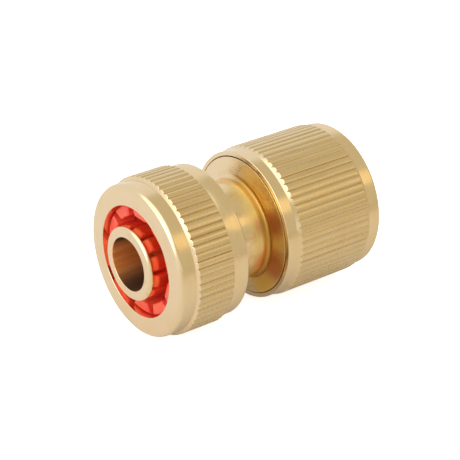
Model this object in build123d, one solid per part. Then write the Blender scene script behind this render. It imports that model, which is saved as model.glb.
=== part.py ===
"""Brass snap coupling for a 1/2 inch garden hose, in millimetres.

+X runs along the coupling's axis from the hose end to the socket end, and +Z is up. The origin is on the
axis, in the plane of the clamp nut's front face. Profiles are lists of (x, radius) corners that are turned
about X; a third value in a corner rounds it with that radius.
"""

import math
import os

from build123d import *

# Hose tail
TAIL_TIP_X = -1.4
TAIL_R = 6.45
WATER_R = 4.65
TAIL_EDGE_ROUND = 0.6
TAIL_BORE_ROUND = 0.15
TAIL_LAND_END_X = 4.4
BARB_R = 6.85
BARB_PITCH = 1.5
BARB_COUNT = 2

# Threaded collar that the clamp nut screws on
COLLAR_X = 7.6
COLLAR_END_X = 12.9
COLLAR_EDGE_ROUND = 0.3
THREAD_ROOT_R = 11.0
THREAD_BORE_R = 11.8
THREAD_CHAMFER = 0.4

# Waist and the spigot behind it
NECK_R = 8.2
NECK_ROOT_ROUND = 0.8
NECK_FLARE_X = 17.0
NECK_END = (21.4, 8.7)
NECK_FLARE_ROUND = 25.0
NECK_FILLET = 0.7
SEAM_R = 9.3
SEAM_STEP = 0.12
SPIGOT_R = 8.6
SPIGOT_X = 22.6
SPIGOT_END_X = 26.2
SPIGOT_EDGE_ROUND = 0.3
WATER_FLARE = 1.2

# Body seal, an O-ring in the spigot's groove
SEAL_CORD_R = 0.6
SEAL_X = 24.5
SEAL_R = 7.95
SEAL_SLACK = 0.05

# Flange and socket tube
FLANGE_R = 12.15
FLANGE_FACE_X = 21.6
FLANGE_EDGE_X = 22.0
FLANGE_BACK_X = 23.6
FLANGE_CHAMFER = 0.06
TUBE_R = 10.2
TUBE_END_X = 41.8
TUBE_END_ROUND = 0.3
PLUG_R = 8.0
PLUG_END_X = 33.0
MOUTH_R = 8.6
MOUTH_CHAMFER = 0.6

# Clamp nut
NUT_LENGTH = 13.65
NUT_RIM_R = 13.25
NUT_BAND_R = 13.3
NUT_KNURL_R = 13.85
NUT_RIBS = 66
NUT_KNURL_START = (2.75, 3.4)
NUT_KNURL_END = (10.6, 10.3)
NUT_OPENING_R = 9.7
NUT_LIP = 1.35
NUT_LIP_UNDERCUT = (0.1, 0.25)
NUT_EDGE_ROUND = 0.85
NUT_OPENING_ROUND = 0.12
NUT_REAR_ROUND = 0.3
NUT_CONE = ((2.6, 11.45), (5.0, 11.55))
NUT_THREAD_X = 5.4

# Gripping collet: each finger is (radius, half its angle) at its tip, its shoulder and its root
FINGERS = 10
FINGER_FIRST_DEG = 0.4
FINGER_END_X = 1.1
FINGER_TIP = (7.68, 11.3)
FINGER_SHOULDER = (9.2, 13.8)
FINGER_ROOT = (12.4, 14.5)
FINGER_OUT_R = 9.5
FINGER_FLARE = (1.4, 2.6)
FINGER_CHAMFER = 0.2
FINGER_TIP_LENGTH = 2.6
COLLET_RING_X = 5.9
COLLET_RING_OVERLAP = 0.3
COLLET_END_X = 7.4
COLLET_BORE_R = 9.5
COLLET_R = 11.4
COLLET_STEP = 0.15
COLLET_END_ROUND = 0.2

# Sliding sleeve
SLEEVE_X = 22.1
SLEEVE_REAR_ROUND = 0.25
SLEEVE_REAR_BORE_ROUND = 0.05
SLEEVE_END_X = 42.4
SLEEVE_REAR_R = 13.05
SLEEVE_BAND_R = 13.0
SLEEVE_KNURL_R = 13.4
SLEEVE_RIBS = 64
SLEEVE_KNURL_START = (24.1, 25.1)
SLEEVE_KNURL_END = (39.9, 39.4)
SLEEVE_BORE_R = 12.3
SLEEVE_STEP_X = 33.0
SLEEVE_LAND_R = 10.28
SLEEVE_CONE_X = 35.0
SLEEVE_TRAVEL = 4.0
SLEEVE_END_ROUND = 0.6
SLEEVE_MOUTH_ROUND = 0.2

# Locking lugs, which the sleeve's cone lets out as it slides back
LUGS = 4
LUG_FIRST_DEG = 45.0
LUG_TRAVEL = 1.0
LUG_INNER_R = 7.7
LUG_X = 35.1
LUG_END_X = 38.1
LUG_STEM_WIDTH = 5.6
LUG_HEAD_WIDTH = 7.0
LUG_LEDGE_R = 9.5
LUG_LEAD_IN = 0.9
LUG_CLEARANCE = 0.1
CONE_CLEARANCE = 0.06

# Return spring and its slip washer
SPRING_WIRE_R = 0.5
SPRING_R = 11.25
SPRING_TURNS = 4.5
WASHER_THICKNESS = 0.6
WASHER_BORE_R = 10.35
WASHER_R = 12.1

# Retaining ring
RING_X = 39.8
RING_THICKNESS = 1.0
RING_GROOVE_R = 9.6
RING_R = 11.4
RING_EDGE_ROUND = 0.1
RING_GAP = 3.0
RING_CLEARANCE = 0.05

# Straight knurl
RIB_DEPTH = 0.28
RIB_CROWN = 0.08
RIB_TOP_SHARE = 0.8
KNURL_FOOT_SINK = 0.1
KNURL_CORE_SINK = 0.5

CONE_SLOPE = LUG_TRAVEL / SLEEVE_TRAVEL


def turned(corners):
    """Solid of revolution about X from (x, radius) or (x, radius, rounding) corners."""
    profile = make_face(Polyline(*[corner[:2] for corner in corners], close=True))
    for x, radius, *rounding in corners:
        if rounding:
            vertex = profile.vertices().sort_by_distance((x, radius))[0]
            profile = fillet(vertex, rounding[0])
    return revolve(profile, Axis.X, 360)


def at_angle(shape, degrees):
    """Shape turned about X: 0 leaves +Z as it is, and a positive angle turns +Z towards -Y."""
    return Rot(X=degrees) * shape


def ring_of(shape, count, first_degrees):
    """Copies of a shape spread evenly about X."""
    return [at_angle(shape, first_degrees + k * 360 / count) for k in range(count)]


def extruded_along_x(outline, x, end_x):
    """Prism from x to end_x, whose outline is (y, z) corners."""
    return extrude(Plane.YZ.offset(x) * make_face(Polyline(*outline, close=True)), end_x - x)


def polar(radius, degrees):
    """(y, z) of a point at a radius and an angle from +Z towards -Y."""
    angle = math.radians(degrees)
    return (-radius * math.sin(angle), radius * math.cos(angle))


def knurl(ribs, top_r, band_r, start, end):
    """Straight ribs between two plain bands: start and end are (x at band level, x at full height).

    The ribs straddle the lowest line, so that the coupling rests on two of them.
    """
    pitch = 360 / ribs
    half_top = pitch * RIB_TOP_SHARE / 2
    outline = []
    for k in range(ribs):
        middle = (k + 0.5) * pitch
        outline.append(polar(top_r - RIB_CROWN, middle - half_top))
        outline.append(polar(top_r, middle))
        outline.append(polar(top_r - RIB_CROWN, middle + half_top))
        outline.append(polar(top_r - RIB_DEPTH, middle + pitch / 2))
    foot_r = band_r - KNURL_FOOT_SINK
    core_r = band_r - KNURL_CORE_SINK
    prism = extruded_along_x(outline, start[0], end[0])
    envelope = turned(
        [
            (start[0], core_r),
            (start[0], foot_r),
            (start[1], top_r),
            (end[1], top_r),
            (end[0], foot_r),
            (end[0], core_r),
        ]
    )
    return prism & envelope


def cone_r(x):
    """Radius of the sleeve's inner cone at x."""
    return SLEEVE_LAND_R + CONE_SLOPE * (x - SLEEVE_CONE_X)


def make_tail_body():
    """Hose tail, threaded collar, waist and spigot, with the waterway through them."""
    corners = [
        (TAIL_TIP_X, WATER_R, TAIL_BORE_ROUND),
        (TAIL_TIP_X, TAIL_R, TAIL_EDGE_ROUND),
    ]
    for k in range(BARB_COUNT):
        barb_x = TAIL_LAND_END_X + k * BARB_PITCH
        corners += [(barb_x, TAIL_R), (barb_x + BARB_PITCH, BARB_R)]
    groove_x = SEAL_X - SEAL_CORD_R - SEAL_SLACK
    groove_end_x = SEAL_X + SEAL_CORD_R + SEAL_SLACK
    groove_r = SEAL_R - SEAL_CORD_R - SEAL_SLACK
    corners += [
        (TAIL_LAND_END_X + BARB_COUNT * BARB_PITCH, TAIL_R),
        (COLLAR_X, TAIL_R),
        (COLLAR_X, THREAD_ROOT_R - THREAD_CHAMFER),
        (COLLAR_X + THREAD_CHAMFER, THREAD_ROOT_R),
        (COLLAR_END_X, THREAD_ROOT_R, COLLAR_EDGE_ROUND),
        (COLLAR_END_X, NECK_R, NECK_ROOT_ROUND),
        (NECK_FLARE_X, NECK_R, NECK_FLARE_ROUND),
        (*NECK_END, NECK_FILLET),
        (FLANGE_FACE_X - SEAM_STEP, SEAM_R),
        (SPIGOT_X, SEAM_R),
        (SPIGOT_X, SPIGOT_R),
        (groove_x, SPIGOT_R),
        (groove_x, groove_r),
        (groove_end_x, groove_r),
        (groove_end_x, SPIGOT_R),
        (SPIGOT_END_X, SPIGOT_R, SPIGOT_EDGE_ROUND),
        (SPIGOT_END_X, WATER_R + WATER_FLARE),
        (SPIGOT_END_X - WATER_FLARE, WATER_R),
    ]
    return turned(corners)


def make_body_seal():
    return Location((SEAL_X, 0, 0), (0, 90, 0)) * Torus(SEAL_R, SEAL_CORD_R)


def lug_window():
    """Stepped opening for the lug at +Z: a narrow slot with a wider pocket round its head."""
    x = LUG_X - LUG_CLEARANCE
    end_x = LUG_END_X + LUG_CLEARANCE
    half_stem = LUG_STEM_WIDTH / 2 + LUG_CLEARANCE
    half_head = LUG_HEAD_WIDTH / 2 + LUG_CLEARANCE
    top = TUBE_R + 1
    outline = [
        (-half_stem, MOUTH_R / 2),
        (half_stem, MOUTH_R / 2),
        (half_stem, LUG_LEDGE_R),
        (half_head, LUG_LEDGE_R),
        (half_head, top),
        (-half_head, top),
        (-half_head, LUG_LEDGE_R),
        (-half_stem, LUG_LEDGE_R),
    ]
    return extruded_along_x(outline, x, end_x)


def make_socket_body():
    """Flange and socket tube, with a window for each lug and a groove for the retaining ring."""
    ring_x = RING_X - RING_CLEARANCE
    ring_end_x = RING_X + RING_THICKNESS + RING_CLEARANCE
    body = turned(
        [
            (FLANGE_FACE_X, SEAM_R),
            (FLANGE_EDGE_X, FLANGE_R, FLANGE_CHAMFER),
            (FLANGE_BACK_X, FLANGE_R),
            (FLANGE_BACK_X, TUBE_R),
            (ring_x, TUBE_R),
            (ring_x, RING_GROOVE_R),
            (ring_end_x, RING_GROOVE_R),
            (ring_end_x, TUBE_R),
            (TUBE_END_X, TUBE_R, TUBE_END_ROUND),
            (TUBE_END_X, MOUTH_R + MOUTH_CHAMFER),
            (TUBE_END_X - MOUTH_CHAMFER, MOUTH_R),
            (PLUG_END_X + (MOUTH_R - PLUG_R), MOUTH_R),
            (PLUG_END_X, PLUG_R),
            (SPIGOT_END_X, PLUG_R),
            (SPIGOT_END_X, SPIGOT_R),
            (SPIGOT_X, SPIGOT_R),
            (SPIGOT_X, SEAM_R),
        ]
    )
    for window in ring_of(lug_window(), LUGS, LUG_FIRST_DEG):
        body -= window
    return body


def make_lug():
    """Locking lug at +Z: a stem through the tube's wall and a head that the sleeve's cone presses on."""
    head_r = LUG_LEDGE_R + LUG_CLEARANCE
    half_stem = LUG_STEM_WIDTH / 2
    half_head = LUG_HEAD_WIDTH / 2
    top = cone_r(LUG_END_X)
    outline = [
        (-half_stem, LUG_INNER_R / 2),
        (half_stem, LUG_INNER_R / 2),
        (half_stem, head_r),
        (half_head, head_r),
        (half_head, top),
        (-half_head, top),
        (-half_head, head_r),
        (-half_stem, head_r),
    ]
    envelope = turned(
        [
            (LUG_X, LUG_INNER_R),
            (LUG_X, cone_r(LUG_X) - CONE_CLEARANCE),
            (LUG_END_X, cone_r(LUG_END_X) - CONE_CLEARANCE),
            (LUG_END_X, LUG_INNER_R + LUG_LEAD_IN),
            (LUG_END_X - LUG_LEAD_IN, LUG_INNER_R),
        ]
    )
    return extruded_along_x(outline, LUG_X, LUG_END_X) & envelope


def make_clamp_nut():
    """Knurled nut with a lip round its opening, a cone for the collet and the bore of its thread."""
    undercut_x, undercut_r = NUT_LIP_UNDERCUT
    cone, cone_end = NUT_CONE
    core = turned(
        [
            (0, NUT_OPENING_R, NUT_OPENING_ROUND),
            (0, NUT_RIM_R, NUT_EDGE_ROUND),
            (NUT_KNURL_START[1], NUT_RIM_R),
            (NUT_KNURL_START[1], NUT_BAND_R),
            (NUT_LENGTH, NUT_BAND_R, NUT_REAR_ROUND),
            (NUT_LENGTH, THREAD_BORE_R + THREAD_CHAMFER),
            (NUT_LENGTH - THREAD_CHAMFER, THREAD_BORE_R),
            (NUT_THREAD_X, THREAD_BORE_R),
            cone_end,
            cone,
            (NUT_LIP + undercut_x, NUT_OPENING_R + undercut_r),
            (NUT_LIP, NUT_OPENING_R),
        ]
    )
    return core + knurl(NUT_RIBS, NUT_KNURL_R, NUT_RIM_R, NUT_KNURL_START, NUT_KNURL_END)


def make_collet():
    """Plastic gripping ring, whose fingers have flat tips that bite on the hose."""
    stations = [FINGER_TIP, FINGER_SHOULDER, FINGER_ROOT]
    outline = [polar(radius, half_angle) for radius, half_angle in stations]
    outline += [polar(radius, -half_angle) for radius, half_angle in reversed(stations)]
    inside_r = FINGER_TIP[0] - 1
    flare_x, flare_end_x = FINGER_FLARE
    step_r = COLLET_R - COLLET_STEP
    envelope = turned(
        [
            (FINGER_END_X, inside_r),
            (FINGER_END_X, FINGER_OUT_R),
            (flare_x, FINGER_OUT_R),
            (flare_end_x, FINGER_OUT_R + flare_end_x - flare_x),
            (COLLET_RING_X, step_r),
            (COLLET_RING_X, COLLET_BORE_R),
            (FINGER_END_X + FINGER_TIP_LENGTH, inside_r),
        ]
    )
    finger = extruded_along_x(outline, FINGER_END_X, COLLET_RING_X) & envelope
    end_face = finger.faces().sort_by(Axis.X)[0]
    finger = chamfer(end_face.edges(), FINGER_CHAMFER)
    ring = turned(
        [
            (COLLET_RING_X - COLLET_RING_OVERLAP, COLLET_BORE_R),
            (COLLET_RING_X - COLLET_RING_OVERLAP, step_r),
            (COLLET_RING_X, COLLET_R),
            (COLLET_END_X, COLLET_R, COLLET_END_ROUND),
            (COLLET_END_X, COLLET_BORE_R, COLLET_END_ROUND),
        ]
    )
    return ring + ring_of(finger, FINGERS, FINGER_FIRST_DEG)


def make_sliding_sleeve():
    """Knurled sleeve: it runs on the flange and the tube, seats the spring and holds the lugs in."""
    core = turned(
        [
            (SLEEVE_X, SLEEVE_BORE_R, SLEEVE_REAR_BORE_ROUND),
            (SLEEVE_X, SLEEVE_REAR_R, SLEEVE_REAR_ROUND),
            (SLEEVE_KNURL_START[1], SLEEVE_REAR_R),
            (SLEEVE_KNURL_START[1], SLEEVE_BAND_R),
            (SLEEVE_END_X, SLEEVE_BAND_R, SLEEVE_END_ROUND),
            (SLEEVE_END_X, cone_r(SLEEVE_END_X), SLEEVE_MOUTH_ROUND),
            (SLEEVE_CONE_X, SLEEVE_LAND_R),
            (SLEEVE_STEP_X, SLEEVE_LAND_R),
            (SLEEVE_STEP_X, SLEEVE_BORE_R),
        ]
    )
    return core + knurl(SLEEVE_RIBS, SLEEVE_KNURL_R, SLEEVE_REAR_R, SLEEVE_KNURL_START, SLEEVE_KNURL_END)


def make_spring_washer():
    x = SLEEVE_STEP_X - WASHER_THICKNESS
    corners = [(x, WASHER_BORE_R), (x, WASHER_R), (SLEEVE_STEP_X, WASHER_R), (SLEEVE_STEP_X, WASHER_BORE_R)]
    return turned(corners)


def make_return_spring():
    """Compression spring between the flange and the washer."""
    x = FLANGE_BACK_X + SPRING_WIRE_R
    height = SLEEVE_STEP_X - WASHER_THICKNESS - FLANGE_BACK_X - 2 * SPRING_WIRE_R
    path = Helix(pitch=height / SPRING_TURNS, height=height, radius=SPRING_R)
    wire = sweep(Plane(path @ 0, z_dir=path % 0) * Circle(SPRING_WIRE_R), path=path)
    return Location((x, 0, 0), (0, 90, 0)) * wire


def make_retaining_ring():
    """Snap ring in the tube's groove, with a gap so that it can be sprung on."""
    x = RING_X
    end_x = RING_X + RING_THICKNESS
    bore_r = RING_GROOVE_R + RING_CLEARANCE
    ring = turned(
        [(x, bore_r), (x, RING_R, RING_EDGE_ROUND), (end_x, RING_R, RING_EDGE_ROUND), (end_x, bore_r)]
    )
    gap = Pos((x + end_x) / 2, 0, -RING_R) * Box(2 * RING_THICKNESS, RING_GAP, RING_R)
    return ring - gap


def make_parts():
    parts = {
        "tail_body": make_tail_body(),
        "body_seal": make_body_seal(),
        "socket_body": make_socket_body(),
        "clamp_nut": make_clamp_nut(),
        "collet": make_collet(),
        "sliding_sleeve": make_sliding_sleeve(),
        "spring_washer": make_spring_washer(),
        "return_spring": make_return_spring(),
        "retaining_ring": make_retaining_ring(),
    }
    for number, lug in enumerate(ring_of(make_lug(), LUGS, LUG_FIRST_DEG), start=1):
        parts[f"lock_lug_{number}"] = lug
    return parts


os.makedirs("parts", exist_ok=True)
for node, shape in make_parts().items():
    export_step(shape, f"parts/{node}.step")
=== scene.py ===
import math
import random

import bpy
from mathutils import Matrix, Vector


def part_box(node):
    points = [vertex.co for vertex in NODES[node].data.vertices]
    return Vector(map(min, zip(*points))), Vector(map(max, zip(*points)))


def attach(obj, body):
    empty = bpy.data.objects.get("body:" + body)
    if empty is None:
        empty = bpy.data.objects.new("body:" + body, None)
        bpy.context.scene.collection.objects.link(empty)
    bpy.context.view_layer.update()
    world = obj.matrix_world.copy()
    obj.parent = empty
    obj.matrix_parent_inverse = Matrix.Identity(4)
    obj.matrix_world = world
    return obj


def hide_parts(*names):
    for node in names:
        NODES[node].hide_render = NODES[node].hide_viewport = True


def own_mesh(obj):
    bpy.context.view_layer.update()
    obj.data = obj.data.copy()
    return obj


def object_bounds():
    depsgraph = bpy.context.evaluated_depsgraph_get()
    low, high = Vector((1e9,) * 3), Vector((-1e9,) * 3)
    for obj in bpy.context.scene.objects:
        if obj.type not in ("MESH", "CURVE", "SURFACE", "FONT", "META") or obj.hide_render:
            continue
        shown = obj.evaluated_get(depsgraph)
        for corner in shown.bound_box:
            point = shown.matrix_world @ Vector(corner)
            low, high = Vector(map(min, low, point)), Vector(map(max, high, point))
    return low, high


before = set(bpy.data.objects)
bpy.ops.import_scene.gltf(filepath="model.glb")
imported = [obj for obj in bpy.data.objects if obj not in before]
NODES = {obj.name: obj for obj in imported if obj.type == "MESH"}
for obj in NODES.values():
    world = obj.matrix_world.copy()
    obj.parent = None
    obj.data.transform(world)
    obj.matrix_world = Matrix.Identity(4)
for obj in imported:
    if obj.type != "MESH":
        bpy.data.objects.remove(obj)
CAD_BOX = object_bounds()
MM = 0.001
ALONG = Vector((1, 0, 0))

# Camera: a long lens that looks down on the coupling from the -X and -Y side
FOCAL_MM = 135.4
SENSOR_MM = 36.0
CAMERA_AZIMUTH = math.radians(-36.9)
CAMERA_ELEVATION = math.radians(27.8)
FACE_DEPTH = 285.5 * MM
FACE_LEFT = 15.7 * MM
FACE_BELOW = 5.3 * MM

# The white surroundings, and the parts of them that differ: direction, cosines of the cone's outer and inner
# edge, how much the cone is stretched along the coupling's axis, and colour
SURROUNDINGS = (0.86, 0.86, 0.88)
DIM_WARM_SIDE = ((0.53, -0.47, 0.70), 0.42, 0.64, 1, (0.63, 0.58, 0.45))
WARM_CARD = ((0.53, -0.65, 0.54), 0.976, 0.990, 3, (1.06, 0.88, 0.56))
WIDE_LIGHT = ((-0.5, -0.1, 0.8), 0.66, 0.84, 1, (1.6, 1.6, 1.6))
KEY_LIGHT = ((-0.82, -0.25, 0.5), 0.90, 0.96, 1, (2.7, 2.7, 2.8))

# Painted shade on the floor that the brass reflects: it darkens and warms along one direction, from back to
# front and on to the far front
FLOOR_SIDE_M = 3
FLOOR_CENTRE_X_M = 0.02
FLOOR_ROUGHNESS = 0.8
FLOOR_DIRECTION = (0.56, -0.83, 0)
FLOOR_BACK = (0.66, 0.66, 0.72)
FLOOR_FRONT = (0.56, 0.52, 0.44)
FLOOR_FRONT_M = (-0.05, 0.05)
FLOOR_FAR = (0.40, 0.34, 0.24)
FLOOR_FAR_M = (0.085, 0.12)
FLOOR_GLOW = (0.12, 0.12, 0.12)
FLOOR_SEEN = (0.98, 0.98, 0.98)
FLOOR_SEEN_GLOW = (0.75, 0.75, 0.75)

# Colours are linear red, green, blue
BRASS = (0.90, 0.71, 0.43)
BRASS_WARM = (0.86, 0.64, 0.33)
# The tints from here to copper paint reflections and shade on one side of the waist and flange
BRASS_GOLD = (0.87, 0.65, 0.27)
BRASS_FLANGE = (0.97, 0.72, 0.28)
BRASS_RING = (0.60, 0.30, 0.06)
BRASS_DEEP = (0.50, 0.30, 0.07)
BRASS_AMBER = (1.0, 0.62, 0.14)
BRASS_BROWN = (0.62, 0.29, 0.13)
BRASS_COPPER = (0.76, 0.32, 0.11)
# Painted shade in the knurl's valleys, also the tone of the worn streaks on its ribs
BRASS_GROOVE = (0.70, 0.53, 0.27)
BORE_BRASS = (1.0, 0.47, 0.16)
BORE_COPPER = (0.96, 0.31, 0.07)
# Painted shade of the bore above and below its brightest height
BORE_DARK = (0.10, 0.05, 0.03)
RED = (0.82, 0.12, 0.04)
RED_DEEP = (0.86, 0.05, 0.03)
# Faint red emission: a painted glow of the collet's plastic
RED_PAINTED_GLOW = (0.9, 0.03, 0.04)
STEEL = (0.60, 0.60, 0.62)
STEEL_DARK = (0.50, 0.50, 0.52)
LUG_WHITE = (0.72, 0.70, 0.64)
LUG_GREY = (0.58, 0.56, 0.50)
RUBBER = (0.018, 0.018, 0.019)
RUBBER_GREY = (0.03, 0.03, 0.032)

# Profiles are (x, radius) corners in millimetres, and a third value rounds the corner. A knurl's ribs rise
# from the band to the top between the two x of its start, and fall back between the two of its end.
NUT_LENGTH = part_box("clamp_nut")[1].x / MM
NUT_PROFILE = [
    (0, 9.7, 0.12),
    (0, 13.25, 0.9),
    (2.9, 13.25),
    (10.67, 13.2),
    (10.92, 13.3),
    (NUT_LENGTH, 13.3, 0.35),
    (NUT_LENGTH, 12.2),
    (NUT_LENGTH - 0.4, 11.8),
    (5.4, 11.8),
    (5.0, 11.55),
    (2.6, 11.45),
    (1.45, 9.95),
    (1.35, 9.7, 0.05),
]
NUT_KNURL = {
    "ribs": 66,
    "top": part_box("clamp_nut")[1].y / MM,
    "band": 13.25,
    "depth": 0.32,
    "crown": 0.12,
    "start": (3.1, 3.53),
    "end": (10.6, 10.3),
}
SLEEVE_X = [corner.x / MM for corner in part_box("sliding_sleeve")]
SLEEVE_PROFILE = [
    (SLEEVE_X[0], 12.3, 0.06),
    (SLEEVE_X[0], 13.05, 0.13),
    (24.0, 13.04),
    (39.97, 12.98),
    (40.2, 13.02),
    (SLEEVE_X[1], 13.0, 0.6),
    (SLEEVE_X[1], 12.13, 0.2),
    (35.0, 10.28, 0.2),
    (33.0, 10.28, 0.1),
    (33.0, 12.3, 0.1),
]
SLEEVE_KNURL = {
    "ribs": 64,
    "top": 13.4,
    "band": 13.03,
    "depth": 0.24,
    "crown": 0.08,
    "start": (24.1, 25.0),
    "end": (39.9, 39.4),
}
# Ribs differ a little: in lean, in the depth of their grooves and in height, by a seeded draw for each ring
NUT_SEED = 3
SLEEVE_SEED = 8
RIB_LEAN = 0.04
RIB_DEPTH_SHARE = (0.5, 1.0)
RIB_UNEVEN = 0.025

# Mesh stations along the knurl
SLOPE_STEPS = 12
LAND_STEPS = 4
END_STEPS = 5
SUPPORTS = (0.05, 0.01)
# Where the mesh has edges across a rib, as shares of its pitch from its middle
RIB_HALF = (0.13, 0.25, 0.33, 0.39, 0.43, 0.47)
RIB_COLUMNS = (-0.5, *[-share for share in reversed(RIB_HALF)], 0.0, *RIB_HALF)
# Share of a rib's pitch from its middle at which the crown ends and the groove begins
GROOVE_EDGE = 0.36
# The groove attribute on top of a rib, where plain brass has 0 and the bottom of a full groove has 1
RIB_TOP_TINT = 0.35
# Width over which a rib's sloping end is blended into its top
RIB_BLEND = 0.05

# Painted reflections of the recess, as (centre, reach, colour) patches, on the side of the waist that faces
# one direction. They fade in along x, and each is full within its core, which is a share of its reach.
PAINTED_SIDE = (0, -0.98, 0.17)
PAINTED_SIDE_FADE = (0.0, 0.42)
PAINTED_X = (16.8, 19.6)
PAINTED_CORE = 0.3
PAINTED_PATCHES = [
    ((21.6, -6.0, -9.0), 6.0, BRASS_AMBER),
    ((21.2, -9.2, 4.2), 3.6, BRASS_BROWN),
    ((21.3, -9.6, -3.7), 4.3, BRASS_COPPER),
]
# Painted shade in the seam where the two bodies meet in a recess: it is tinted on that side, and darker
# higher up
SEAM_X = (20.0, 20.7)
SEAM_R = (9.45, 9.25)
SEAM_STRENGTH = 0.95
SEAM_DARK_SIDE = (0, -0.64, 0.77)
SEAM_DARK_FADE = (0.5, 0.85)
SEAM_DARK_STRENGTH = 0.7

# The tail's bore: the radius within which its own colour is full, the ring over which that colour fades out,
# and the height at which its painted shade leaves it brightest, with the distances from it at which the
# painted shade starts and ends to darken it
BORE_R = 4.67
BORE_EDGE = 0.04
BORE_BRIGHT_Z = -0.8
BORE_BRIGHT_REACH = (1.4, 4.0)
BORE_METALLIC = 0.55
BORE_SPECULAR = 0.1

# How much rougher than plain brass the bore, the painted side of the waist and the knurl are
BORE_ROUGHER = 0.35
PAINTED_SIDE_ROUGHER = 0.16
KNURL_ROUGHER = 0.1

# Depth of a lathe's line, the share of the wider waves in it, and how much deeper the knurl's lines are
LATHE_LINE_MM = 0.001
WIDE_WAVE_SHARE = 0.6
KNURL_LINE_DEEPER = 5.0

# Thread ridge and spring coil
THREAD_X = (7.75, 12.75)
THREAD_R = (10.95, 11.7)
THREAD_PITCH = 1.5
THREAD_STEPS = 72
THREAD_FADE_STEPS = 14
THREAD_ROOT_HALF = 0.66
THREAD_CREST_HALF = 0.16
THREAD_CREST_FLAT_HALF = 0.08
THREAD_CREST_ROUND = 0.1
THREAD_END_SHARE = 0.02

SPRING_X = (23.6, 32.4)
SPRING_R = 11.25
SPRING_WIRE_R = 0.48
SPRING_TURNS = 4.5
SPRING_CLOSED_SHARE = 0.13
SPRING_CLOSED_CLIMB = 0.1
SPRING_STEPS = 260
WIRE_SIDES = 12


# Camera and light

def make_camera():
    """Camera placed from the centre of the nut's front face, which is the frame's origin."""
    level = math.cos(CAMERA_ELEVATION)
    forward = Vector(
        (-math.sin(CAMERA_AZIMUTH) * level, math.cos(CAMERA_AZIMUTH) * level, -math.sin(CAMERA_ELEVATION))
    )
    right = forward.cross(Vector((0, 0, 1))).normalized()
    up = right.cross(forward)
    data = bpy.data.cameras.new("camera")
    data.lens = FOCAL_MM
    data.sensor_width = SENSOR_MM
    data.clip_start = 0.01
    data.clip_end = 10
    camera = bpy.data.objects.new("camera", data)
    bpy.context.scene.collection.objects.link(camera)
    camera.location = right * FACE_LEFT + up * FACE_BELOW - forward * FACE_DEPTH
    camera.rotation_mode = "QUATERNION"
    camera.rotation_quaternion = forward.to_track_quat("-Z", "Y")
    bpy.context.scene.camera = camera


class Graph:
    """Short names for the shader nodes that the materials and the world are made of."""

    def __init__(self, tree):
        self.tree = tree

    def node(self, kind, inputs=None, **settings):
        made = self.tree.nodes.new(kind)
        for key, value in settings.items():
            setattr(made, key, value)
        for key, value in (inputs or {}).items():
            self.feed(made.inputs[key], value)
        return made

    def feed(self, socket, value):
        if isinstance(value, bpy.types.NodeSocket):
            self.tree.links.new(value, socket)
        elif isinstance(value, tuple) and len(value) == 3 and socket.type == "RGBA":
            socket.default_value = (*value, 1)
        else:
            socket.default_value = value

    def math(self, operation, a, b=0.0):
        return self.node("ShaderNodeMath", {0: a, 1: b}, operation=operation).outputs[0]

    def vector(self, operation, a, b=(0, 0, 0), output=0):
        return self.node("ShaderNodeVectorMath", {0: a, 1: b}, operation=operation).outputs[output]

    def ramp(self, value, low, high, to_low=0.0, to_high=1.0):
        """Smooth step of a value from low to high."""
        inputs = {"Value": value, "From Min": low, "From Max": high, "To Min": to_low, "To Max": to_high}
        return self.node("ShaderNodeMapRange", inputs, interpolation_type="SMOOTHSTEP").outputs[0]

    def mix(self, factor, a, b):
        made = self.node("ShaderNodeMix", data_type="RGBA")
        self.feed(made.inputs[0], factor)
        self.feed(made.inputs[6], a)
        self.feed(made.inputs[7], b)
        return made.outputs[2]

    def noise(self, position, scale, detail, dimensions="3D"):
        """Noise whose grains are about 1 / scale across, in the position's unit."""
        inputs = {"Scale": scale, "Detail": detail}
        inputs["W" if dimensions == "1D" else "Vector"] = position
        return self.node("ShaderNodeTexNoise", inputs, noise_dimensions=dimensions).outputs["Fac"]


def make_world():
    """White studio, dimmer and warmer on one side, with one warm card and two lights over the hose end."""
    world = bpy.data.worlds.new("studio")
    bpy.context.scene.world = world
    world.use_nodes = True
    g = Graph(world.node_tree)
    towards = g.node("ShaderNodeTexCoord").outputs["Generated"]

    def near(direction, far_cos, near_cos, stretch):
        """One inside a cone around the direction, and zero outside it."""
        squeeze = (1 / stretch, 1, 1)
        aim = tuple((Vector(direction) * Vector(squeeze)).normalized())
        flattened = g.vector("NORMALIZE", g.vector("MULTIPLY", towards, squeeze))
        return g.ramp(g.vector("DOT_PRODUCT", flattened, aim, "Value"), far_cos, near_cos)

    color = SURROUNDINGS
    for direction, far_cos, near_cos, stretch, light in (DIM_WARM_SIDE, WARM_CARD, WIDE_LIGHT, KEY_LIGHT):
        color = g.mix(near(direction, far_cos, near_cos, stretch), color, light)
    g.feed(world.node_tree.nodes["Background"].inputs["Color"], color)


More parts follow.
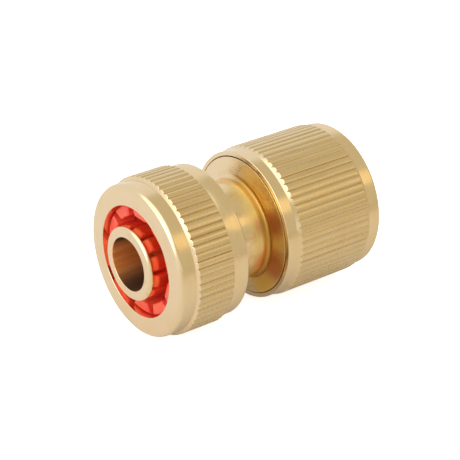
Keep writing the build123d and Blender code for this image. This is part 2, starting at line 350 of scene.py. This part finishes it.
def make_floor():
    """Pale floor that the coupling lies on, which looks white apart from a faint contact shadow."""
    bpy.ops.mesh.primitive_plane_add(size=FLOOR_SIDE_M, location=(FLOOR_CENTRE_X_M, 0, CAD_BOX[0].z))
    floor = bpy.context.object
    floor.name = "floor"
    material = bpy.data.materials.new("floor")
    material.use_nodes = True
    g = Graph(material.node_tree)
    shader = material.node_tree.nodes["Principled BSDF"]
    shader.inputs["Roughness"].default_value = FLOOR_ROUGHNESS
    seen = g.node("ShaderNodeLightPath").outputs["Is Camera Ray"]
    position = g.node("ShaderNodeTexCoord").outputs["Object"]
    # Painted shade, seen in the brass's reflections: the floor darkens and warms towards the front and the
    # far front
    forward = g.vector("DOT_PRODUCT", position, FLOOR_DIRECTION, "Value")
    shade = g.mix(g.ramp(forward, *FLOOR_FRONT_M), FLOOR_BACK, FLOOR_FRONT)
    shade = g.mix(g.ramp(forward, *FLOOR_FAR_M), shade, FLOOR_FAR)
    g.feed(shader.inputs["Base Color"], g.mix(seen, shade, FLOOR_SEEN))
    g.feed(shader.inputs["Emission Color"], g.mix(seen, FLOOR_GLOW, FLOOR_SEEN_GLOW))
    shader.inputs["Emission Strength"].default_value = 1.0
    floor.data.materials.append(material)


# Materials. Positions are read in millimetres from the object's own coordinates, in the shared frame.

def new_material(name):
    """An empty material, its graph and shader, and the position in millimetres."""
    material = bpy.data.materials.new(name)
    material.use_nodes = True
    g = Graph(material.node_tree)
    shader = material.node_tree.nodes["Principled BSDF"]
    position = g.vector("SCALE", g.node("ShaderNodeTexCoord").outputs["Object"])
    position.node.inputs["Scale"].default_value = 1 / MM
    return material, g, shader, position


def along_and_radius(g, position):
    """The distance along the coupling's axis and the radius from it, in millimetres."""
    parts = g.node("ShaderNodeSeparateXYZ", {0: position}).outputs
    flat = g.node("ShaderNodeCombineXYZ", {"Y": parts["Y"], "Z": parts["Z"]}).outputs[0]
    return parts["X"], g.vector("LENGTH", flat, output="Value")


def bump(g, shader, height, depth_mm):
    """Small relief: a height of 0 to 1 stands for this depth."""
    inputs = {"Height": height, "Distance": depth_mm * MM}
    g.feed(shader.inputs["Normal"], g.node("ShaderNodeBump", inputs).outputs[0])


def streaks(g, position, along_share, scale):
    """Noise that changes around the axis and hardly along it, like the marks of a reamer."""
    return g.noise(g.vector("MULTIPLY", position, (along_share, 1, 1)), scale, 3.0)


def painted_side_reach(g, position, along, radius):
    """How far a point is on the painted side of the waist, and the same only for the flared end of the waist.
    """
    front = g.vector("DOT_PRODUCT", position, PAINTED_SIDE, "Value")
    front = g.ramp(g.math("DIVIDE", front, radius), *PAINTED_SIDE_FADE)
    return front, g.math("MULTIPLY", front, g.ramp(along, *PAINTED_X))


def painted_recess_color(g, position, along, radius, color, gold):
    """Painted reflections of the recess, as golden to coppery tints, mottling and patches, on one side of the
    waist, and painted shade in its seam.
    """
    front, reach = painted_side_reach(g, position, along, radius)
    # Painted reflection: a golden tint, coppery mottling and coloured patches on that side
    color = g.mix(reach, color, gold)
    mottle = g.ramp(g.noise(position, 0.55, 3.0), 0.5, 0.7, 0.0, 0.3)
    color = g.mix(g.math("MULTIPLY", front, mottle), color, BRASS_COPPER)
    for centre, size, painted_tint in PAINTED_PATCHES:
        away = g.vector("DISTANCE", position, centre, "Value")
        color = g.mix(g.math("MULTIPLY", reach, g.ramp(away, size, size * PAINTED_CORE)), color, painted_tint)
    # Painted shade: the seam in the recess is tinted on that side, and darker higher up
    seam = g.math("MULTIPLY", g.ramp(along, *SEAM_X), g.ramp(radius, *SEAM_R))
    color = g.mix(g.math("MULTIPLY", front, g.math("MULTIPLY", seam, SEAM_STRENGTH)), color, BRASS_RING)
    upper = g.math("DIVIDE", g.vector("DOT_PRODUCT", position, SEAM_DARK_SIDE, "Value"), radius)
    upper = g.ramp(upper, *SEAM_DARK_FADE, 0.0, SEAM_DARK_STRENGTH)
    return g.mix(g.math("MULTIPLY", upper, seam), color, BRASS_DEEP)


def streaked_bore_with_shade(g, position, inside, color):
    """Coppery streaks on the wall of the bore, with painted shade that darkens it above and below."""
    streak = g.ramp(streaks(g, position, 0.06, 1.1), 0.4, 0.7)
    height = g.node("ShaderNodeSeparateXYZ", {0: position}).outputs["Z"]
    # Painted shade: the bore darkens away from the height where it is brightest
    edge = g.ramp(g.math("ABSOLUTE", g.math("SUBTRACT", height, BORE_BRIGHT_Z)), *BORE_BRIGHT_REACH)
    bore_streaks_and_shade = g.mix(edge, g.mix(streak, BORE_COPPER, BORE_BRASS), BORE_DARK)
    return g.mix(inside, color, bore_streaks_and_shade)


def knurl_color(g, position, depth, color):
    """Painted shade that darkens the valleys, and worn streaks along the tops of the ribs."""
    # Painted shade: the deeper a point lies in the knurl, the more it takes the darker groove tone
    color = g.mix(g.ramp(depth, 0.0, 0.8, 0.0, 0.75), color, BRASS_GROOVE)
    worn = g.ramp(streaks(g, position, 0.08, 1.3), 0.45, 0.7, 0.0, 0.6)
    worn = g.math("MULTIPLY", g.ramp(depth, 0.0, RIB_TOP_TINT), worn)
    return g.mix(worn, color, BRASS_GROOVE)


def brass_material(name, roughness, lines, bore_r=None, groove=None, painted_tint=None):
    """Brass with a lathe's fine rings, and optionally a streaked bore with painted shade, painted reflections
    and shade on the waist, or a knurl with painted shade in its valleys.

    Lines scales the depth of the rings, the tint given for the waist colours its painted reflections, and
    groove names the mesh attribute that holds how deep in the knurl a point lies.
    """
    material, g, shader, position = new_material(name)
    along, radius = along_and_radius(g, position)
    shader.inputs["Metallic"].default_value = 1.0
    track = g.math("ADD", along, radius)
    fine = g.noise(track, 16.0, 3.0, "1D")
    coarse = g.noise(track, 1.7, 2.0, "1D")
    cloud = g.noise(position, 0.22, 4.0)
    color = g.mix(g.ramp(cloud, 0.42, 0.72, 0.0, 0.35), BRASS, BRASS_WARM)
    rough = g.ramp(coarse, 0.3, 0.7, roughness - 0.03, roughness + 0.04)
    rough = g.math("ADD", rough, g.ramp(cloud, 0.4, 0.7, 0.0, 0.05))
    if bore_r:
        inside = g.ramp(radius, bore_r + BORE_EDGE, bore_r)
        color = streaked_bore_with_shade(g, position, inside, color)
        rough = g.math("ADD", rough, g.ramp(inside, 0.0, 1.0, 0.0, BORE_ROUGHER))
        g.feed(shader.inputs["Metallic"], g.ramp(inside, 0.0, 1.0, 1.0, BORE_METALLIC))
        shader.inputs["Specular IOR Level"].default_value = BORE_SPECULAR
    # Painted reflections and shade of the recess on one side of the waist
    if painted_tint:
        color = painted_recess_color(g, position, along, radius, color, painted_tint)
        reach = painted_side_reach(g, position, along, radius)[1]
        rough = g.math("ADD", rough, g.ramp(reach, 0.0, 1.0, 0.0, PAINTED_SIDE_ROUGHER))
    if groove:
        depth = g.node("ShaderNodeAttribute", attribute_name=groove).outputs["Fac"]
        color = knurl_color(g, position, depth, color)
        ribbed = g.ramp(depth, 0.0, RIB_TOP_TINT)
        rough = g.math("ADD", rough, g.math("MULTIPLY", ribbed, KNURL_ROUGHER))
        drawn = g.math("MULTIPLY", streaks(g, position, 0.04, 2.6), KNURL_LINE_DEEPER)
        fine = g.mix(ribbed, fine, drawn)
        coarse = g.mix(ribbed, coarse, (0.5, 0.5, 0.5))
    g.feed(shader.inputs["Base Color"], color)
    g.feed(shader.inputs["Roughness"], rough)
    shader.inputs["Anisotropic"].default_value = 0.45
    tangent = g.node("ShaderNodeTangent", direction_type="RADIAL", axis="X").outputs[0]
    g.feed(shader.inputs["Tangent"], tangent)
    height = g.math("ADD", fine, g.math("MULTIPLY", coarse, WIDE_WAVE_SHARE))
    bump(g, shader, height, LATHE_LINE_MM * lines)
    return material


def collet_material():
    """Bright red moulded plastic that lets a little light through, with a faint painted red glow on top."""
    material, g, shader, position = new_material("collet_red")
    cloud = g.noise(position, 0.5, 3.0)
    g.feed(shader.inputs["Base Color"], g.mix(g.ramp(cloud, 0.35, 0.7), RED, RED_DEEP))
    grain = g.noise(position, 14.0, 2.0)
    g.feed(shader.inputs["Roughness"], g.ramp(grain, 0.3, 0.7, 0.26, 0.36))
    # Painted glow: a faint red emission stands in for light passing through the plastic
    shader.inputs["Emission Color"].default_value = (*RED_PAINTED_GLOW, 1)
    shader.inputs["Emission Strength"].default_value = 0.1
    shader.inputs["Subsurface Weight"].default_value = 0.35
    shader.inputs["Subsurface Radius"].default_value = (1.0, 0.12, 0.06)
    shader.inputs["Subsurface Scale"].default_value = 0.8 * MM
    shader.inputs["IOR"].default_value = 1.5
    bump(g, shader, grain, 0.006)
    return material


def lug_material():
    """Off-white moulded plastic with a faint grain."""
    material, g, shader, position = new_material("lug_plastic")
    grain = g.noise(position, 12.0, 3.0)
    g.feed(shader.inputs["Base Color"], g.mix(g.ramp(grain, 0.3, 0.8, 0.0, 0.3), LUG_WHITE, LUG_GREY))
    g.feed(shader.inputs["Roughness"], g.ramp(grain, 0.3, 0.7, 0.38, 0.5))
    bump(g, shader, grain, 0.006)
    return material


def steel_material():
    """Bright drawn steel with uneven gloss."""
    material, g, shader, position = new_material("spring_steel")
    shader.inputs["Metallic"].default_value = 1.0
    drawn = g.noise(position, 7.0, 4.0)
    g.feed(shader.inputs["Base Color"], g.mix(g.ramp(drawn, 0.4, 0.8, 0.0, 0.3), STEEL, STEEL_DARK))
    g.feed(shader.inputs["Roughness"], g.ramp(drawn, 0.3, 0.7, 0.2, 0.34))
    bump(g, shader, drawn, 0.0015)
    return material


def rubber_material():
    """Matt black rubber."""
    material, g, shader, position = new_material("seal_rubber")
    grain = g.noise(position, 10.0, 3.0)
    g.feed(shader.inputs["Base Color"], g.mix(grain, RUBBER, RUBBER_GREY))
    g.feed(shader.inputs["Roughness"], g.ramp(grain, 0.3, 0.7, 0.5, 0.65))
    bump(g, shader, grain, 0.01)
    return material


# Meshes

def add_piece(name, vertices, faces, material, body, replaced=None, sharp_degrees=38):
    """A mesh given in millimetres becomes a piece that rides on a body."""
    mesh = bpy.data.meshes.new(name)
    mesh.from_pydata([Vector(v) * MM for v in vertices], [], faces)
    mesh.validate()
    mesh.shade_smooth()
    mesh.set_sharp_from_angle(angle=math.radians(sharp_degrees))
    mesh.materials.append(material)
    piece = bpy.data.objects.new(name, mesh)
    bpy.context.scene.collection.objects.link(piece)
    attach(piece, body)
    if replaced:
        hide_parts(replaced)
    return piece


def rounded(corners, arc_steps=6, support=0.03):
    """Closed outline through (x, radius) corners, where a third value rounds a corner."""
    points = []
    count = len(corners)
    for k, corner in enumerate(corners):
        here = Vector(corner[:2])
        if len(corner) < 3:
            points.append(here)
            continue
        before = (Vector(corners[k - 1][:2]) - here).normalized()
        after = (Vector(corners[(k + 1) % count][:2]) - here).normalized()
        half = before.angle(after) / 2
        reach = corner[2] / math.tan(half)
        centre = here + (before + after).normalized() * corner[2] / math.sin(half)
        start = here + before * reach
        end = here + after * reach
        points.append(start + before * support)
        for step in range(arc_steps + 1):
            spoke = (start - centre).slerp(end - centre, step / arc_steps)
            points.append(centre + spoke * corner[2])
        points.append(end + after * support)
    return points


def rib_drop(share, crown, depth):
    """How far a rib's surface lies below its top: share is -0.5 to 0.5 across the rib."""
    arch = crown * min(1.0, (share / GROOVE_EDGE) ** 2)
    wall = max(0.0, (abs(share) - GROOVE_EDGE) / (0.5 - GROOVE_EDGE))
    return arch + (depth - crown) * wall * wall * (3 - 2 * wall)


def soft_min(a, b):
    """The smaller of two lengths, with the corner between them rounded."""
    gap = max(0.0, RIB_BLEND - abs(a - b)) / RIB_BLEND
    return min(a, b) - gap * gap * RIB_BLEND / 4


def with_stations(outline, stations):
    """Adds points at the given x to the outline's long outer edge."""
    for k in range(len(outline)):
        low, high = outline[k], outline[(k + 1) % len(outline)]
        if low.x < stations[0] and high.x > stations[-1]:
            slope = (high.y - low.y) / (high.x - low.x)
            added = [Vector((x, low.y + slope * (x - low.x))) for x in stations]
            return outline[: k + 1] + added + outline[k + 1 :], range(k + 1, k + 1 + len(added))
    raise ValueError("the outline has no edge that spans the knurl")


def knurl_stations(start, end):
    """Close together over the sloping ends of the ribs and far apart between them."""
    stations = [start[0] - gap for gap in SUPPORTS]
    stations += [start[0] + (start[1] - start[0]) * k / SLOPE_STEPS for k in range(SLOPE_STEPS + 2)]
    stations += [start[1] + (end[1] - start[1]) * k / LAND_STEPS for k in range(1, LAND_STEPS)]
    stations += [end[1] + (end[0] - end[1]) * k / END_STEPS for k in range(-1, END_STEPS + 1)]
    return stations + [end[0] + gap for gap in reversed(SUPPORTS)]


def knurled_ring(outline, knurl, seed):
    """Vertices, faces and groove depth of a turned ring whose outer edge carries straight ribs."""
    chance = random.Random(seed)
    ribs = knurl["ribs"]
    start, end = knurl["start"], knurl["end"]
    outline, knurled = with_stations(outline, knurl_stations(start, end))
    columns = []
    for rib in range(ribs):
        lean = chance.uniform(-RIB_LEAN, RIB_LEAN)
        deep = chance.uniform(*RIB_DEPTH_SHARE)
        lower = chance.uniform(0.0, RIB_UNEVEN)
        for share in RIB_COLUMNS:
            inward = 1 - 2 * abs(share)
            angle = 2 * math.pi * (rib + 0.5 + share + lean * inward) / ribs
            drop = lower * inward + deep * rib_drop(share, knurl["crown"], knurl["depth"])
            columns.append((angle, knurl["top"] - drop))
    vertices, depths = [], []
    for angle, rib_r in columns:
        for k, point in enumerate(outline):
            radius, depth = point.y, 0.0
            if k in knurled:
                rise_in = (point.x - start[0]) / (start[1] - start[0])
                rise = min(rise_in, (end[0] - point.x) / (end[0] - end[1]))
                slope_r = knurl["band"] + (knurl["top"] - knurl["band"]) * max(0.0, rise)
                radius = max(point.y, soft_min(slope_r, rib_r)) if rise > 0 else point.y
                depth = (knurl["top"] - radius) / knurl["depth"] if slope_r > rib_r else 0.0
                depth = RIB_TOP_TINT + (1 - RIB_TOP_TINT) * depth if depth else 0.0
            vertices.append((point.x, -radius * math.sin(angle), radius * math.cos(angle)))
            depths.append(depth)
    size = len(outline)
    faces = []
    for column in range(len(columns)):
        base, following = column * size, (column + 1) % len(columns) * size
        for k in range(size):
            step = (k + 1) % size
            faces.append((base + k, base + step, following + step, following + k))
    return vertices, faces, depths


def make_knurled_piece(name, profile, knurl, seed, material, body, node):
    """Nut or sleeve shell. Its groove attribute is 0 on plain brass and 1 at the bottom of a full groove."""
    vertices, faces, depths = knurled_ring(rounded(profile), knurl, seed)
    piece = add_piece(name, vertices, faces, material, body, node)
    groove = piece.data.attributes.new("groove", "FLOAT", "POINT")
    groove.data.foreach_set("value", depths)
    return piece


def swept(path, section):
    """Tube along a path of (point, outward, along), where a section is (outward, along) offsets."""
    vertices, faces = [], []
    size = len(section)
    for centre, outward, along in path:
        for out, on in section:
            vertices.append(centre + outward * out + along * on)
    for ring in range(len(path) - 1):
        for k in range(size):
            step = (k + 1) % size
            low, high = ring * size, (ring + 1) * size
            faces.append((low + k, low + step, high + step, high + k))
    faces.append(tuple(range(size))[::-1])
    faces.append(tuple(range((len(path) - 1) * size, len(path) * size)))
    return vertices, faces


def around(angle):
    """Unit vector from the axis at an angle from +Z, turning towards -Y."""
    return Vector((0, -math.sin(angle), math.cos(angle)))


def make_thread(material):
    """Right-hand thread ridge on the collar, which shows once the nut is screwed back."""
    turns = (THREAD_X[1] - THREAD_X[0]) / THREAD_PITCH
    steps = round(turns * THREAD_STEPS)
    crest = THREAD_R[1] - THREAD_R[0]
    path = []
    for k in range(steps + 1):
        angle = 2 * math.pi * turns * k / steps
        fade = min(1.0, k / THREAD_FADE_STEPS, (steps - k) / THREAD_FADE_STEPS)
        out = around(-angle)
        centre = ALONG * (THREAD_X[0] + THREAD_PITCH * angle / (2 * math.pi)) + out * THREAD_R[0]
        path.append((centre, out * max(fade, THREAD_END_SHARE), ALONG))
    shoulder = crest - THREAD_CREST_ROUND
    half = [(0, THREAD_ROOT_HALF), (shoulder, THREAD_CREST_HALF), (crest, THREAD_CREST_FLAT_HALF)]
    section = [(out, -on) for out, on in half] + half[::-1]
    vertices, faces = swept(path, section)
    add_piece("collar_thread", vertices, faces, material, "coupling_body")


def make_spring(material):
    """Compression spring with closed ends."""
    low, high = SPRING_X[0] + SPRING_WIRE_R, SPRING_X[1] - SPRING_WIRE_R
    path = []
    for k in range(SPRING_STEPS + 1):
        share = k / SPRING_STEPS
        angle = 2 * math.pi * SPRING_TURNS * share
        open_share = (share - SPRING_CLOSED_SHARE) / (1 - 2 * SPRING_CLOSED_SHARE)
        open_share = min(1.0, max(0.0, open_share))
        climb = SPRING_CLOSED_CLIMB * share + (1 - SPRING_CLOSED_CLIMB) * open_share
        out = around(angle)
        path.append((ALONG * (low + (high - low) * climb) + out * SPRING_R, out, ALONG))
    section = []
    for k in range(WIRE_SIDES):
        turn = 2 * math.pi * k / WIRE_SIDES
        section.append((SPRING_WIRE_R * math.cos(turn), SPRING_WIRE_R * math.sin(turn)))
    vertices, faces = swept(path, section)
    body = "coupling_body"
    piece = add_piece("spring_coil", vertices, faces, material, body, "return_spring")
    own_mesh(piece)


def dress(node, material):
    """Gives a carried-over node its material."""
    NODES[node].data.materials.clear()
    NODES[node].data.materials.append(material)


def make_pieces():
    knurled = brass_material("knurled_brass", roughness=0.15, lines=1.0, groove="groove")
    tail = brass_material("turned_brass_tail", roughness=0.15, lines=0.8, bore_r=BORE_R, painted_tint=BRASS_GOLD)
    turned = brass_material("turned_brass", roughness=0.2, lines=0.8, painted_tint=BRASS_FLANGE)
    steel = steel_material()
    dress("tail_body", tail)
    dress("socket_body", turned)
    dress("collet", collet_material())
    dress("spring_washer", steel)
    dress("retaining_ring", steel)
    dress("body_seal", rubber_material())
    lug = lug_material()
    for number in range(1, 5):
        dress(f"lock_lug_{number}", lug)
    nut = (NUT_PROFILE, NUT_KNURL, NUT_SEED)
    make_knurled_piece("nut_shell", *nut, knurled, "clamp_nut", "clamp_nut")
    sleeve = (SLEEVE_PROFILE, SLEEVE_KNURL, SLEEVE_SEED)
    make_knurled_piece("sleeve_shell", *sleeve, knurled, "sleeve", "sliding_sleeve")
    make_thread(turned)
    make_spring(steel)


make_camera()
bpy.context.scene.view_settings.view_transform = "Standard"
make_world()
make_floor()
make_pieces()
